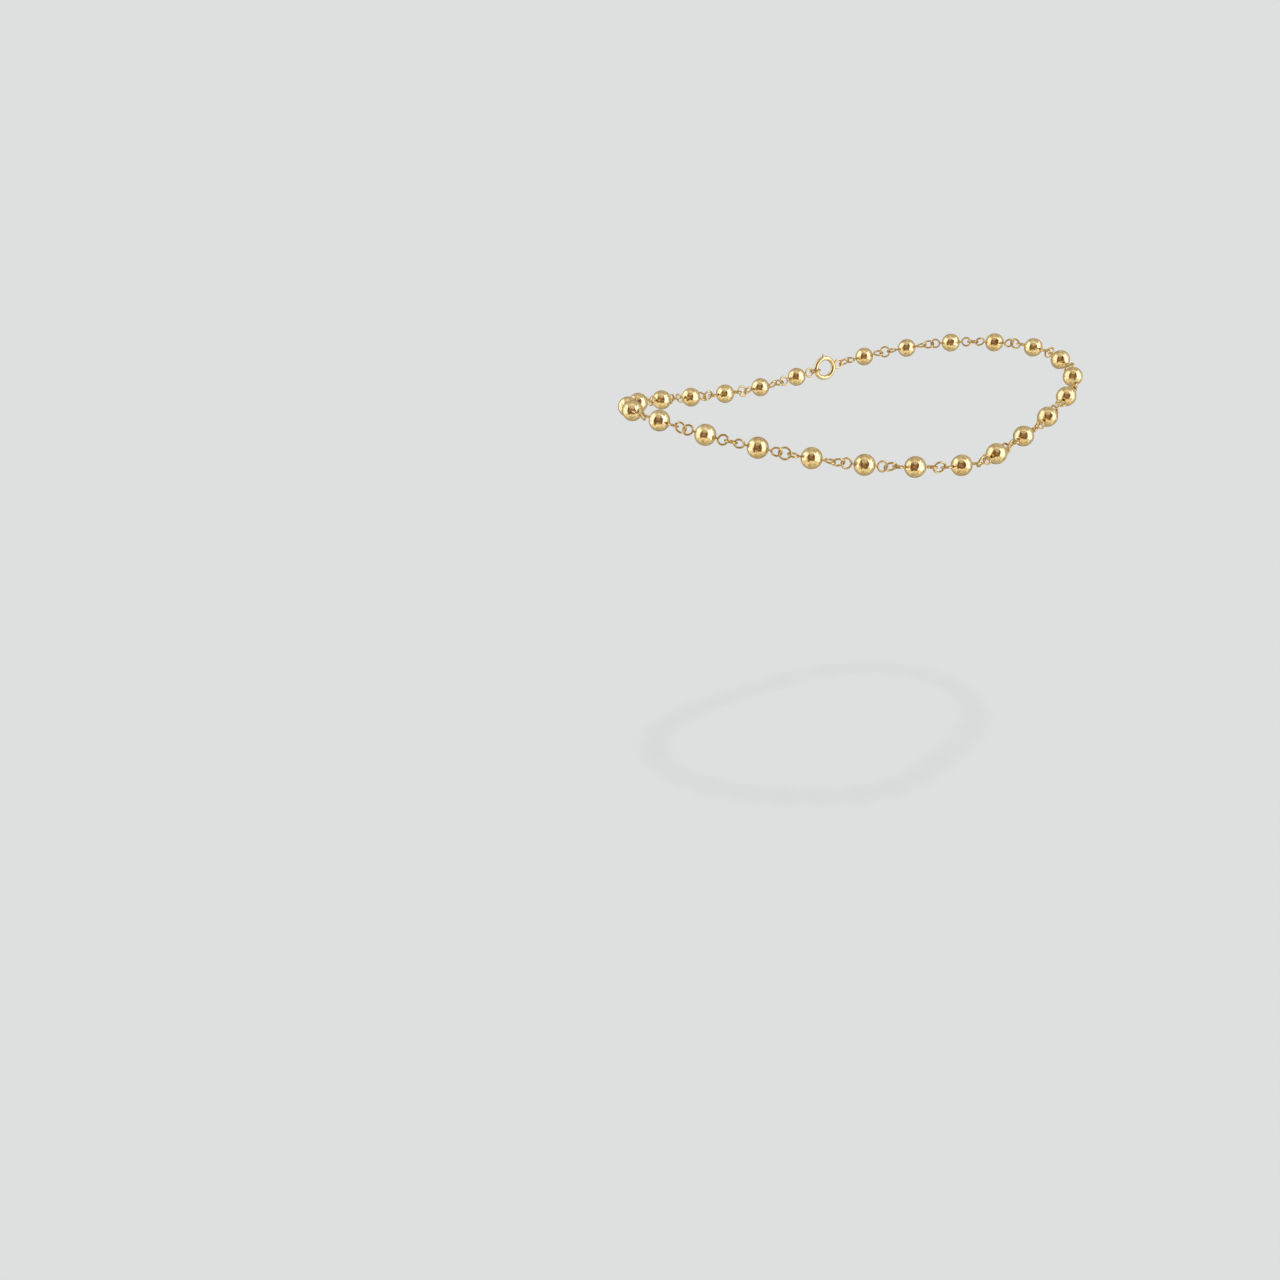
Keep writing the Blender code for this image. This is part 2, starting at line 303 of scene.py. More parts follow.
class NodeBench:
    """Short ways to set nodes in a tree and to join them."""

    def __init__(self, tree):
        self.tree = tree

    def add(self, kind, settings=None, **values):
        """Add a node, with its settings and its inputs by name; an output given as a value is joined."""
        node = self.tree.nodes.new(kind)
        for name, value in (settings or {}).items():
            setattr(node, name, value)
        for name, value in values.items():
            self.feed(node, name.replace("_", " "), value)
        return node

    def feed(self, node, name, value):
        """Set or join the first usable input of that name; a number picks the input by its place."""
        socket = None
        for place, each in enumerate(node.inputs):
            wanted = place == name if isinstance(name, int) else each.name == name and each.enabled
            if wanted:
                socket = each
                break
        if socket is None:
            raise ValueError("%s has no input %r" % (node.bl_idname, name))
        if isinstance(value, bpy.types.NodeSocket):
            self.tree.links.new(value, socket)
        elif isinstance(value, bpy.types.Node):
            self.tree.links.new(first_output(value), socket)
        else:
            socket.default_value = value

    def add_filled(self, kind, settings, values):
        """Add a node, with its settings and its inputs in their order."""
        node = self.add(kind, settings)
        for place, value in enumerate(values):
            self.feed(node, place, value)
        return node

    def math(self, operation, *values):
        """Add a math node on one to three values and give its result."""
        return self.add_filled("ShaderNodeMath", {"operation": operation}, values).outputs[0]

    def vector_math(self, operation, *values, result="Vector"):
        """Add a vector math node and give its result."""
        return self.add_filled("ShaderNodeVectorMath", {"operation": operation}, values).outputs[result]

    def ramp(self, value, low, high, at_low=0.0, at_high=1.0):
        """Carry a value smoothly from one range to another, held at both ends."""
        values = (value, low, high, at_low, at_high)
        return self.add_filled(
            "ShaderNodeMapRange", {"interpolation_type": "SMOOTHSTEP"}, values
        ).outputs[0]

    def blend(self, share, first, second):
        """Mix two colours by a share."""
        node = self.add("ShaderNodeMix", {"data_type": "RGBA"}, A=first, B=second)
        self.feed(node, 0, share)
        return first_output(node)


def first_output(node):
    """The first output of a node that its settings leave in use."""
    return [each for each in node.outputs if each.enabled][0]


def node_points(name):
    """Corners of a solid, as rows of x, y and z."""
    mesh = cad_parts[name].data
    points = np.zeros(len(mesh.vertices) * 3, np.float32)
    mesh.vertices.foreach_get("co", points)
    return points.reshape(-1, 3).astype(float)


def own_directions(name):
    """Middle of a solid and its three own directions, the longest first."""
    points = node_points(name)
    _, directions = np.linalg.eigh(np.cov((points - points.mean(0)).T))
    directions = directions[:, ::-1].T
    reach = points @ directions.T
    middle = (reach.min(0) + reach.max(0)) / 2 @ directions
    return Vector(middle), [Vector(each) for each in directions]


def half_length(name, direction):
    """Half of a solid's length along a direction."""
    reach = node_points(name) @ np.array(direction)
    return float(reach.max() - reach.min()) / 2


def place_of(middle, along, normal):
    """Matrix of a piece whose X runs along the chain and whose Z is its ring's normal, turned outwards."""
    outwards = Vector((middle.x, middle.y, 0)).normalized() + Vector((0, 0, OUTSIDE_LEAN))
    if normal.dot(outwards) < 0:
        normal = -normal
    normal = (normal - along * normal.dot(along)).normalized()
    beside = normal.cross(along).normalized()
    turn = Matrix((along, beside, normal)).transposed().to_4x4()
    return Matrix.Translation(middle) @ turn


def bead_place(name):
    """Place of a bead: X along its pin, counter-clockwise round the loop, and Z square to its eyes."""
    middle, directions = own_directions(name)
    along = directions[0].normalized()
    if Vector((0, 0, 1)).cross(middle).dot(along) < 0:
        along = -along
    return place_of(middle, along, directions[2])


def ring_place(name, before, after):
    """Place of a jump ring between two points of the chain."""
    middle, directions = own_directions(name)
    normal = directions[2]
    along = after - before
    along = (along - normal * along.dot(normal)).normalized()
    return place_of(middle, along, normal)


def clasp_place(sizes, beads, reach):
    """Place of the ring clasp, from the rings that hold it on both sides."""
    wires = sizes.anklet_wire
    clasp = sizes.anklet_clasp
    hook = beads[BEAD_BEFORE_CLASP - 1] @ Vector((reach, 0, 0))
    next_hook = beads[BEAD_BEFORE_CLASP] @ Vector((-reach, 0, 0))
    before, _ = own_directions(LINKS[BEAD_BEFORE_CLASP - 1])
    after, _ = own_directions("clasp_link")
    eye = before * 2 - hook
    link_line = (wires.link - wires.diameter) / 2
    tube_line = (clasp.diameter - clasp.tube) / 2
    spacing = tube_line + link_line - (clasp.tube + wires.diameter) / 2 - WIRE_CLEARANCE
    middle = after - (next_hook - after).normalized() * spacing
    _, directions = own_directions("clasp")
    return place_of(middle, (middle - eye).normalized(), directions[2]), (middle - eye).length


def new_object(name, data):
    """Object in the scene for a mesh, curve, camera or light."""
    thing = bpy.data.objects.new(name, data)
    bpy.context.scene.collection.objects.link(thing)
    return thing


def polyline(name, points):
    """Curve object of one open run through points."""
    curve = bpy.data.curves.new(name, "CURVE")
    curve.dimensions = "3D"
    run = curve.splines.new("POLY")
    run.points.add(len(points) - 1)
    for point, place in zip(run.points, points):
        point.co = (*place, 1.0)
    return new_object(name, curve)


def eye_pin_line(reach, eye_line):
    """Points along the middle of an eye pin's wire: eye, bend, straight through the ball, bend, eye."""
    end = 360.0 + EYE_LEAVES_NECK
    half = []
    for step in range(EYE_STEPS + 1):
        angle = math.radians(EYE_TIP + (end - EYE_TIP) * step / EYE_STEPS)
        half.append(Vector((reach + eye_line * math.cos(angle), eye_line * math.sin(angle), 0)))
    leave = math.radians(end)
    to_axis = -math.sin(leave) * eye_line / math.cos(leave)
    corner = half[-1] + Vector((-math.sin(leave), math.cos(leave), 0)) * to_axis
    straight = corner + Vector((-abs(to_axis), 0, 0))
    for step in range(1, BEND_STEPS + 1):
        share = step / BEND_STEPS
        first = half[EYE_STEPS].lerp(corner, share)
        second = corner.lerp(straight, share)
        half.append(first.lerp(second, share))
    return half + [Vector((-each.x, -each.y, 0)) for each in reversed(half)]


def places_object(name, places):
    """Points that carry the turn of each copy of a piece."""
    mesh = bpy.data.meshes.new(name)
    mesh.from_pydata([tuple(place.translation) for place in places], [], [])
    turns = mesh.attributes.new("turn", "QUATERNION", "POINT")
    for item, place in zip(turns.data, places):
        item.value = tuple(place.to_quaternion())
    return new_object(name, mesh)


def new_shape_tree(name, inputs):
    """Geometry Nodes tree with the points as its geometry and named inputs: kind, default."""
    tree = bpy.data.node_groups.new(name, "GeometryNodeTree")
    tree.interface.new_socket("Geometry", in_out="INPUT", socket_type="NodeSocketGeometry")
    for label, (kind, default) in inputs.items():
        socket = tree.interface.new_socket(label, in_out="INPUT", socket_type="NodeSocket" + kind)
        if default is not None:
            socket.default_value = default
    tree.interface.new_socket("Geometry", in_out="OUTPUT", socket_type="NodeSocketGeometry")
    bench = NodeBench(tree)
    entry = tree.nodes.new("NodeGroupInput")
    return bench, entry.outputs


def swept_wire(bench, line, sides, radius, caps):
    """Sweep a round wire along a line, keeping how far along and where across each point lies."""
    run = bench.add("GeometryNodeSplineParameter").outputs["Length"]
    line = store(bench, line, "run", "FLOAT", run)
    round_line = bench.add("GeometryNodeCurvePrimitiveCircle", Resolution=sides, Radius=radius)
    across = bench.add("GeometryNodeInputPosition").outputs[0]
    round_line = store(bench, round_line, "across", "FLOAT_VECTOR", across)
    sweep = bench.add("GeometryNodeCurveToMesh", Curve=line, Profile_Curve=round_line, Fill_Caps=caps)
    return sweep.outputs[0]


def store(bench, geometry, name, kind, value, domain="POINT"):
    """Keep a value on a geometry under a name."""
    node = bench.add(
        "GeometryNodeStoreNamedAttribute", {"data_type": kind, "domain": domain},
        Geometry=geometry, Name=name, Value=value,
    )
    return node.outputs[0]


def finish_tree(bench, entry, shape):
    """Set a shape on every point, give each copy its own number, and make it plain mesh."""
    place = bench.add("GeometryNodeInputPosition").outputs[0]
    shape = store(bench, shape, "own_place", "FLOAT_VECTOR", place)
    turn = bench.add("GeometryNodeInputNamedAttribute", {"data_type": "QUATERNION"}, Name="turn")
    copies = bench.add(
        "GeometryNodeInstanceOnPoints", Points=entry["Geometry"], Instance=shape, Rotation=turn
    )
    number = bench.add(
        "FunctionNodeRandomValue", {"data_type": "FLOAT"}, Min=0.0, Max=1.0, Seed=entry["Seed"]
    )
    copies = store(bench, copies, "own_number", "FLOAT", number, "INSTANCE")
    plain = bench.add("GeometryNodeRealizeInstances", Geometry=copies)
    painted = bench.add("GeometryNodeSetMaterial", Geometry=plain, Material=entry["Material"])
    exit_node = bench.tree.nodes.new("NodeGroupOutput")
    bench.feed(exit_node, "Geometry", painted)


def ball_tree():
    """A ball turned from one arc, with a bore through it whose lips are rounded."""
    bench, entry = new_shape_tree("Drilled balls", {
        "Ball Radius": ("Float", BALL_DIAMETER / 2),
        "Bore Radius": ("Float", BORE_DIAMETER / 2),
        "Lip Radius": ("Float", BORE_LIP),
        "Sides": ("Int", BALL_SIDES),
        "Steps": ("Int", BALL_STEPS),
        "Seed": ("Int", SEED),
        "Material": ("Material", None),
    })
    hole = bench.math("ARCSINE", bench.math("DIVIDE", entry["Bore Radius"], entry["Ball Radius"]))
    start = bench.math("SUBTRACT", hole, math.pi / 2)
    sweep = bench.math("SUBTRACT", math.pi, bench.math("MULTIPLY", hole, 2.0))
    arc = bench.add(
        "GeometryNodeCurveArc", {"mode": "RADIUS"}, Resolution=entry["Steps"],
        Radius=entry["Ball Radius"], Start_Angle=start, Sweep_Angle=sweep,
    )
    closed = bench.add("GeometryNodeSetSplineCyclic", Geometry=arc, Cyclic=True)
    # Only the arc's first and last points are rounded
    step = bench.add("GeometryNodeInputIndex").outputs[0]
    last = bench.math("SUBTRACT", entry["Steps"], 1.0)
    at_start = bench.math("LESS_THAN", step, 0.5)
    at_end = bench.math("GREATER_THAN", step, bench.math("SUBTRACT", last, 0.5))
    at_lip = bench.math("ADD", at_start, at_end)
    lips = bench.add(
        "GeometryNodeFilletCurve", {"mode": "POLY"}, Curve=closed,
        Count=bench.math("MULTIPLY_ADD", at_lip, float(LIP_STEPS - 1), 1.0),
        Radius=bench.math("MULTIPLY", at_lip, entry["Lip Radius"]),
    )
    inwards = bench.add("ShaderNodeCombineXYZ", X=bench.math("MULTIPLY", entry["Bore Radius"], -1.0))
    profile = bench.add("GeometryNodeTransform", Geometry=lips, Translation=inwards)
    guide = bench.add(
        "GeometryNodeCurvePrimitiveCircle", Resolution=entry["Sides"], Radius=entry["Bore Radius"]
    )
    turned = bench.add("GeometryNodeCurveToMesh", Curve=guide, Profile_Curve=profile)
    merged = bench.add("GeometryNodeMergeByDistance", Geometry=turned, Distance=BALL_MERGE)
    lying = bench.add("GeometryNodeTransform", Geometry=merged, Rotation=(0.0, math.pi / 2, 0.0))
    smooth = bench.add("GeometryNodeSetShadeSmooth", Geometry=lying)
    finish_tree(bench, entry, smooth.outputs[0])
    return bench.tree


def eye_pin_tree():
    """A wire swept along the eye pin's line."""
    bench, entry = new_shape_tree("Eye pins", {
        "Pin Line": ("Object", None),
        "Wire Radius": ("Float", WIRE_DIAMETER / 2),
        "Wire Sides": ("Int", WIRE_SIDES),
        "Seed": ("Int", SEED + 1),
        "Material": ("Material", None),
    })
    line = bench.add("GeometryNodeObjectInfo", Object=entry["Pin Line"]).outputs["Geometry"]
    wire = swept_wire(bench, line, entry["Wire Sides"], entry["Wire Radius"], True)
    finish_tree(bench, entry, wire)
    return bench.tree


def jump_ring_tree():
    """A ring of wire with a fine cut on its side, where the pliers closed it."""
    bench, entry = new_shape_tree("Jump rings", {
        "Ring Radius": ("Float", (LINK_DIAMETER - WIRE_DIAMETER) / 2),
        "Wire Radius": ("Float", WIRE_DIAMETER / 2),
        "Cut Width": ("Float", CUT_WIDTH),
        "Wire Sides": ("Int", WIRE_SIDES),
        "Steps": ("Int", LINK_STEPS),
        "Seed": ("Int", SEED + 2),
        "Material": ("Material", None),
    })
    cut = bench.math("DIVIDE", entry["Cut Width"], entry["Ring Radius"])
    start = bench.math("MULTIPLY_ADD", cut, 0.5, math.pi / 2)
    arc = bench.add(
        "GeometryNodeCurveArc", {"mode": "RADIUS"}, Resolution=entry["Steps"],
        Radius=entry["Ring Radius"], Start_Angle=start,
        Sweep_Angle=bench.math("SUBTRACT", 2 * math.pi, cut),
    )
    wire = swept_wire(bench, arc.outputs[0], entry["Wire Sides"], entry["Wire Radius"], True)
    finish_tree(bench, entry, wire)
    return bench.tree


def clasp_tree():
    """The clasp's tube ring, its soldered eye, the solder between them, and the thumb knob, as one solid."""
    bench, entry = new_shape_tree("Ring clasp", {
        "Tube Line Radius": ("Float", (CLASP_DIAMETER - CLASP_TUBE) / 2),
        "Tube Radius": ("Float", CLASP_TUBE / 2),
        "Eye Line Radius": ("Float", (EYE_DIAMETER - WIRE_DIAMETER) / 2),
        "Wire Radius": ("Float", WIRE_DIAMETER / 2),
        "Eye Reach": ("Float", CLASP_EYE_REACH),
        "Knob Radius": ("Float", CLASP_KNOB / 2),
        "Seed": ("Int", SEED + 3),
        "Material": ("Material", None),
    })
    guide = bench.add(
        "GeometryNodeCurvePrimitiveCircle", Resolution=CLASP_STEPS, Radius=entry["Tube Line Radius"]
    )
    ring = swept_wire(bench, guide.outputs[0], CLASP_TUBE_SIDES, entry["Tube Radius"], False)
    small_guide = bench.add(
        "GeometryNodeCurvePrimitiveCircle", Resolution=LINK_STEPS, Radius=entry["Eye Line Radius"]
    )
    eye = swept_wire(bench, small_guide.outputs[0], WIRE_SIDES, entry["Wire Radius"], False)
    eye_place = bench.add("ShaderNodeCombineXYZ", X=bench.math("MULTIPLY", entry["Eye Reach"], -1.0))
    eye = bench.add("GeometryNodeTransform", Geometry=eye, Translation=eye_place)
    outside = bench.math("ADD", entry["Tube Line Radius"], entry["Tube Radius"])
    knob_ball = bench.add(
        "GeometryNodeMeshUVSphere", Segments=KNOB_SIDES, Rings=KNOB_RINGS, Radius=entry["Knob Radius"]
    )
    knob_place = bench.add("ShaderNodeCombineXYZ", Y=outside)
    knob = bench.add("GeometryNodeTransform", Geometry=knob_ball, Translation=knob_place)
    solder_ball = bench.add(
        "GeometryNodeMeshUVSphere", Segments=KNOB_SIDES, Rings=KNOB_RINGS, Radius=entry["Wire Radius"]
    )
    solder_place = bench.add("ShaderNodeCombineXYZ", X=bench.math("MULTIPLY", outside, -1.0))
    solder = bench.add(
        "GeometryNodeTransform", Geometry=solder_ball, Translation=solder_place, Scale=SOLDER_STRETCH
    )
    union = bench.tree.nodes.new("GeometryNodeMeshBoolean")
    union.operation = "UNION"
    union.solver = "EXACT"
    for each in (ring, eye.outputs[0], knob.outputs[0], solder.outputs[0]):
        bench.tree.links.new(each, union.inputs[1])
    clean = bench.add("GeometryNodeMergeByDistance", Geometry=union.outputs[0], Distance=CLASP_MERGE)
    smooth = bench.add("GeometryNodeSetShadeSmooth", Geometry=clean.outputs[0])
    finish_tree(bench, entry, smooth.outputs[0])
    return bench.tree


def made_piece(name, tree, places, inputs):
    """Run a tree on its places and keep the result as a plain mesh."""
    points = places_object(name + "_places", places)
    modifier = points.modifiers.new(name, "NODES")
    modifier.node_group = tree
    for item in tree.interface.items_tree:
        if item.in_out == "INPUT" and item.name in inputs:
            modifier[item.identifier] = inputs[item.name]
    graph = bpy.context.evaluated_depsgraph_get()
    mesh = bpy.data.meshes.new_from_object(points.evaluated_get(graph))
    mesh.name = name
    points.modifiers.remove(modifier)
    bpy.data.objects.remove(points)
    if not mesh.polygons:
        raise RuntimeError(name + " came out empty")
    return new_object(name, mesh)


def gold_material(name, colour):
    """Metal with its shader ready, and a bench to add to it."""
    material = bpy.data.materials.new(name)
    material.use_nodes = True
    shader = material.node_tree.nodes["Principled BSDF"]
    shader.inputs["Metallic"].default_value = 1.0
    material.diffuse_color = (*colour, 1.0)
    return material, shader, NodeBench(material.node_tree)


def named(bench, name, output):
    """Read a stored value in a material."""
    return bench.add("ShaderNodeAttribute", {"attribute_name": name}).outputs[output]


def noise(bench, vector, grain, detail=2.0, roughness=0.5):
    """Noise on a vector."""
    return bench.add(
        "ShaderNodeTexNoise", Vector=vector, Scale=grain, Detail=detail, Roughness=roughness
    ).outputs["Fac"]


def toned(colour, tone):
    """A colour that keeps a share of its red, green and blue."""
    return (*[part * share for part, share in zip(colour, tone)], 1.0)


def scattered(bench, direction):
    """Own place on each copy, moved on by the copy's number, so that no two copies look alike."""
    number = named(bench, "own_number", "Fac")
    shift = bench.vector_math("MULTIPLY", number, direction)
    return bench.vector_math("ADD", named(bench, "own_place", "Vector"), shift)


def patchy_gold(bench, place, colour, grain, span, deep_tone):
    """Gold that turns deeper in patches."""
    patches = bench.ramp(noise(bench, place, grain, detail=3.0), *span)
    return bench.blend(patches, (*colour, 1.0), toned(colour, deep_tone))


def bump(bench, height, depth, strength=1.0, **below):
    """Bump from a height, on the surface or on another bump."""
    return bench.add("ShaderNodeBump", Strength=strength, Distance=depth, Height=height, **below)


def polished_ball_gold(settings):
    """Mirror-polished plate: a faint wobble, fine polishing scratches, and painted shade round the bore,
    where the gold turns darker and browner.
    """
    material, shader, bench = gold_material("polished ball gold", settings.colour)
    place = scattered(bench, BALL_SCATTER)
    gold = patchy_gold(bench, place, settings.colour, BALL_GRAIN, TONE_SPAN, BALL_DEEP_TONE)
    square = bench.vector_math("MULTIPLY", named(bench, "own_place", "Vector"), (0.0, 1.0, 1.0))
    off_axis = bench.vector_math("LENGTH", square, result="Value")
    # Painted shade: the gold is blended towards a darker, browner tone near the bore, as if shaded where the
    # pin enters
    near_bore = bench.ramp(off_axis, settings.bore / 2, settings.bore * BORE_SHADE_REACH, 1.0, 0.0)
    share = bench.math("MULTIPLY", near_bore, BORE_SHADE_SHARE)
    bench.feed(shader, "Base Color", bench.blend(share, gold, toned(settings.colour, BORE_SHADE_TONE)))

    smear = noise(bench, place, SMEAR_GRAIN)
    dull = bench.ramp(smear, *SMEAR_SPAN, settings.roughness, settings.roughness + BALL_DULLING)
    bench.feed(shader, "Roughness", bench.math("MULTIPLY_ADD", near_bore, BORE_DULLING, dull))

    scratches = noise(bench, bench.vector_math("MULTIPLY", place, SCRATCH_STRETCH), SCRATCH_GRAIN)
    wobble = noise(bench, place, WOBBLE_GRAIN, detail=1.0)
    fine = bump(bench, scratches, FINE_DEPTH, SCRATCH_STRENGTH)
    bench.feed(shader, "Normal", bump(bench, wobble, WOBBLE_DEPTH, Normal=fine))
    return material


def drawn_wire_gold(settings):
    """Drawn wire: fine lines along its run, with plier marks and a deeper tone in patches."""
    material, shader, bench = gold_material("drawn wire gold", settings.colour)
    run = named(bench, "run", "Fac")
    number = named(bench, "own_number", "Fac")
    along = bench.add("ShaderNodeCombineXYZ", Z=bench.math("MULTIPLY_ADD", run, LINE_RUN_SHARE, number))
    lines_at = bench.vector_math("ADD", named(bench, "across", "Vector"), along)
    lines = noise(bench, lines_at, LINE_GRAIN)

    place = scattered(bench, WIRE_SCATTER)
    gold = patchy_gold(bench, place, settings.colour, WIRE_GRAIN, WIRE_TONE_SPAN, WIRE_DEEP_TONE)
    bench.feed(shader, "Base Color", gold)
    dull = bench.ramp(lines, *LINE_SPAN, settings.roughness, settings.roughness + WIRE_DULLING)
    bench.feed(shader, "Roughness", dull)

    dents = noise(bench, place, DENT_GRAIN, detail=1.0)
    fine = bump(bench, lines, FINE_DEPTH, LINE_STRENGTH)
    bench.feed(shader, "Normal", bump(bench, dents, DENT_DEPTH, DENT_STRENGTH, Normal=fine))
    return material


def clasp_gold(settings):
    """Polished plate of the clasp, duller and less even at the solder."""
    material, shader, bench = gold_material("clasp gold", settings.colour)
    own = named(bench, "own_place", "Vector")
    gold = patchy_gold(bench, own, settings.colour, CLASP_GRAIN, TONE_SPAN, CLASP_DEEP_TONE)
    bench.feed(shader, "Base Color", gold)
    solder_at = (-settings.diameter / 2, 0.0, 0.0)
    away = bench.vector_math("DISTANCE", own, solder_at, result="Value")
    soldered = bench.ramp(away, *SOLDER_REACH, 1.0, 0.0)
    smear = noise(bench, own, CLASP_SMEAR_GRAIN, detail=4.0, roughness=0.6)
    dull = bench.ramp(smear, *SMEAR_SPAN, *CLASP_ROUGHNESS)
    bench.feed(shader, "Roughness", bench.math("MULTIPLY_ADD", soldered, SOLDER_DULLING, dull))
    wobble = noise(bench, own, CLASP_WOBBLE_GRAIN)
    height = bench.math("MULTIPLY_ADD", soldered, bench.math("MULTIPLY", wobble, SOLDER_WOBBLE), wobble)
    bench.feed(shader, "Normal", bump(bench, height, DENT_DEPTH, CLASP_WOBBLE_STRENGTH))
    return material


def measured_places():
    """Places of every bead, and how far each pin reaches from its ball's middle to its eye's."""
    beads = [bead_place(name) for name in BEADS]
    longest = [half_length(name, place.col[0].to_3d()) for name, place in zip(BEADS, beads)]
    reach = sum(longest) / len(longest) - EYE_DIAMETER / 2
    return beads, reach


class ANKLET_OT_ball_beads(bpy.types.Operator):
    """Make the polished, drilled balls"""

    bl_idname = "anklet.ball_beads"
    bl_label = "Ball beads"

    def execute(self, context):
        settings = context.scene.anklet_ball
        beads, _ = measured_places()
        piece = made_piece("ball_beads", ball_tree(), beads, {
            "Ball Radius": settings.diameter / 2,
            "Bore Radius": settings.bore / 2,
            "Lip Radius": settings.lip,
            "Material": polished_ball_gold(settings),
        })
        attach(piece, BODY)
        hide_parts(*BEADS)
        return {"FINISHED"}


class ANKLET_OT_eye_pins(bpy.types.Operator):
    """Make the wire pin through each ball, with its two eyes"""

    bl_idname = "anklet.eye_pins"
    bl_label = "Eye pins"

    def execute(self, context):
        settings = context.scene.anklet_wire
        beads, reach = measured_places()
        eye_line = (settings.eye - settings.diameter) / 2
        line = polyline("eye_pin_line", eye_pin_line(reach, eye_line))
        piece = made_piece("eye_pins", eye_pin_tree(), beads, {
            "Pin Line": line,
            "Wire Radius": settings.diameter / 2,
            "Material": drawn_wire_gold(settings),
        })
        bpy.data.objects.remove(line)
        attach(piece, BODY)
        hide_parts(*BEADS)
        return {"FINISHED"}


class ANKLET_OT_jump_rings(bpy.types.Operator):
    """Make the round wire links between the eyes"""

    bl_idname = "anklet.jump_rings"
    bl_label = "Jump rings"

    def execute(self, context):
        settings = context.scene.anklet_wire
        beads, reach = measured_places()
        clasp, _ = clasp_place(context.scene, beads, reach)
        places = []
        for number, name in enumerate(LINKS):
            before = beads[number].translation
            after = beads[(number + 1) % BEAD_COUNT].translation
            if number + 1 == BEAD_BEFORE_CLASP:
                after = clasp.translation
            places.append(ring_place(name, before, after))
        after = beads[BEAD_BEFORE_CLASP].translation
        places.append(ring_place("clasp_link", clasp.translation, after))
        piece = made_piece("jump_rings", jump_ring_tree(), places, {
            "Ring Radius": (settings.link - settings.diameter) / 2,
            "Wire Radius": settings.diameter / 2,
            "Cut Width": settings.cut,
            "Material": drawn_wire_gold(settings),
        })
        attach(piece, BODY)
        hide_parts(*LINKS, "clasp_link")
        return {"FINISHED"}


class ANKLET_OT_ring_clasp(bpy.types.Operator):
    """Make the plain ring clasp with its soldered eye and knob"""

    bl_idname = "anklet.ring_clasp"
    bl_label = "Ring clasp"

    def execute(self, context):
        settings = context.scene.anklet_clasp
        wires = context.scene.anklet_wire
        beads, reach = measured_places()
        place, eye_reach = clasp_place(context.scene, beads, reach)
        piece = made_piece("ring_clasp", clasp_tree(), [place], {
            "Tube Line Radius": (settings.diameter - settings.tube) / 2,
            "Tube Radius": settings.tube / 2,
            "Eye Line Radius": (wires.eye - wires.diameter) / 2,
            "Wire Radius": wires.diameter / 2,
            "Eye Reach": eye_reach,
            "Knob Radius": settings.knob / 2,
            "Material": clasp_gold(settings),
        })
        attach(piece, BODY)
        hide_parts("clasp")
        return {"FINISHED"}


def camera_directions():
    """The camera's right, up and forward directions."""
    turn = math.radians(CAMERA_TURN)
    rise = math.radians(CAMERA_RISE)
    level = Vector((math.sin(turn), math.cos(turn), 0))
    right = Vector((math.cos(turn), -math.sin(turn), 0))
    forward = level * math.cos(rise) - Vector((0, 0, math.sin(rise)))
    return right, right.cross(forward), forward


def make_camera():
    """Camera at the photograph's place, with the loop's middle on the same pixel; gives its direction."""
    right, up, forward = camera_directions()
    half = FRAME_PIXELS / 2
    ray = forward + right * ((MIDDLE_PIXEL[0] - half) / FOCAL_PIXELS)
    ray -= up * ((MIDDLE_PIXEL[1] - half) / FOCAL_PIXELS)
    data = bpy.data.cameras.new("camera")
    data.sensor_fit = "HORIZONTAL"
    data.sensor_width = SENSOR_WIDTH
    data.lens = SENSOR_WIDTH * FOCAL_PIXELS / FRAME_PIXELS
    data.clip_start = CLIP_START
    camera = new_object("camera", data)
    turn = Matrix((right, up, -forward)).transposed().to_4x4()
    camera.matrix_world = Matrix.Translation(-ray * MIDDLE_DEPTH) @ turn
    bpy.context.scene.camera = camera
    return -ray.normalized()


def floor_material(colour):
    """Matt pale paper."""
    material = bpy.data.materials.new("pale paper")
    material.use_nodes = True
    material.node_tree.nodes.clear()
    bench = NodeBench(material.node_tree)
    paper = bench.add("ShaderNodeBsdfDiffuse", Color=(*colour, 1.0))
    exit_node = material.node_tree.nodes.new("ShaderNodeOutputMaterial")
    bench.feed(exit_node, "Surface", paper)
    return material


class Tent:
    """The light tent's directions, as turn and rise from the direction to the camera."""

    def __init__(self, bench, front):
        self.bench = bench
        side = Vector((0, 0, 1)).cross(front).normalized()
        top = front.cross(side).normalized()
        self.direction = bench.add("ShaderNodeTexCoord").outputs["Generated"]
        self.wander = noise(bench, self.direction, WANDER_SCALE, detail=3.0)
        to_front, to_side, to_top = [
            bench.vector_math("DOT_PRODUCT", self.direction, tuple(each), result="Value")
            for each in (front, side, top)
        ]
        self.turn = bench.math("ARCTAN2", to_side, to_front)
        self.rise = bench.math("ARCSINE", to_top)

    def near(self, value, middle, half, soft):
        """1 near an angle, 0 away from it, with a soft edge that wanders."""
        bench = self.bench
        away = bench.math("ABSOLUTE", bench.math("SUBTRACT", value, math.radians(middle)))
        edge = bench.math("MULTIPLY_ADD", self.wander, EDGE_WANDER, math.radians(half) - EDGE_WANDER / 2)
        low = bench.math("SUBTRACT", edge, math.radians(soft))
        high = bench.math("ADD", edge, math.radians(soft))
        return bench.ramp(away, low, high, 1.0, 0.0)

    def patch(self, turn, turn_half, rise, rise_half, soft):
        """1 in a box of directions, with soft edges."""
        across = self.near(self.turn, turn, turn_half, soft)
        return self.bench.math("MULTIPLY", across, self.near(self.rise, rise, rise_half, soft))


